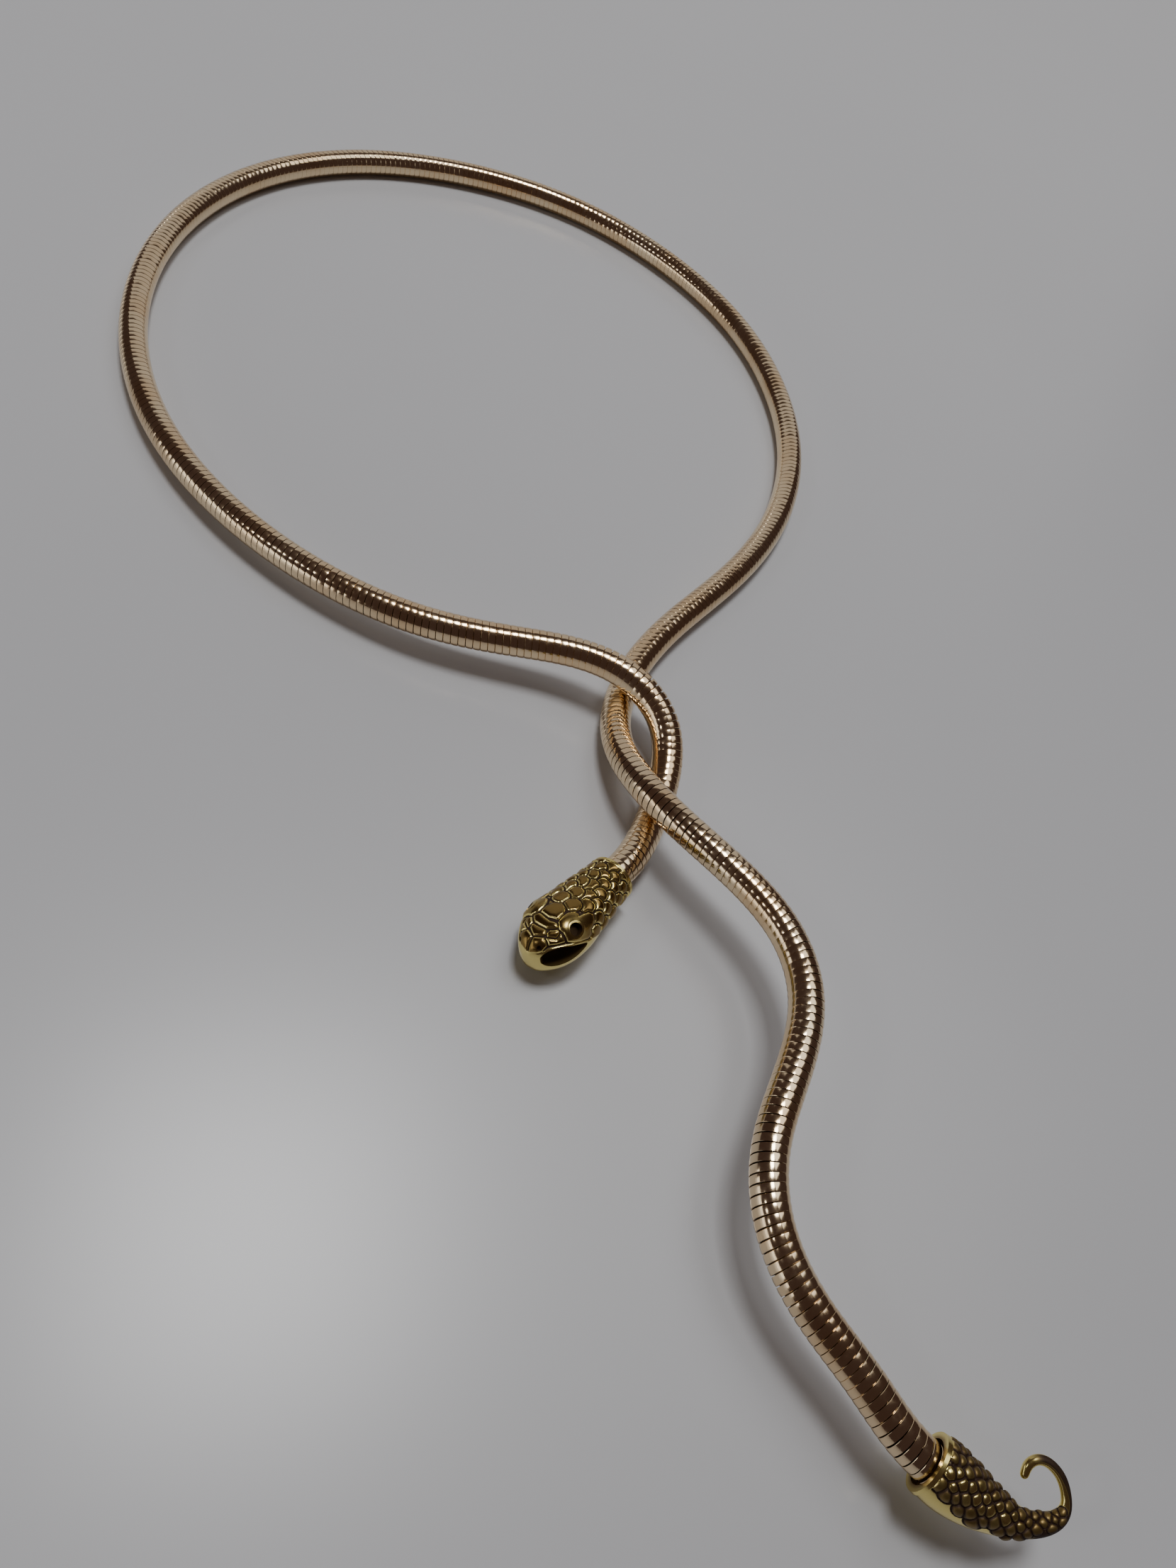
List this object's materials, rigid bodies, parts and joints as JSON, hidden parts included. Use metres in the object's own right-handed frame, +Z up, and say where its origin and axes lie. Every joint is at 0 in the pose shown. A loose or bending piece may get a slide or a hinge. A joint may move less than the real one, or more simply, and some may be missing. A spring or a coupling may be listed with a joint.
{
  "type": "snake necklace",
  "caption": "Bendable snake necklace: a wound metal tube with a cast snake head at one end and a scaled tail with a hook at the other, lying in a loop.",
  "frame": {"origin": "on the table under the middle of the whole necklace as it lies", "axes": "+Z up from the table, +Y from the hooked tail to the far side of the neck loop, +X to the right when the loop is seen from the tail"},
  "size_m": [0.1653, 0.341, 0.0176],
  "materials": {
    "strip": "polished rose-gold coloured strip",
    "antique_gold": "antiqued gold, burnished on the high places and dark in the grooves"
  },
  "bodies": {
    "root": {"gooseneck": "strip", "snake_head": "antique_gold", "tail_cap": "antique_gold"}
  },
  "joints": []
}
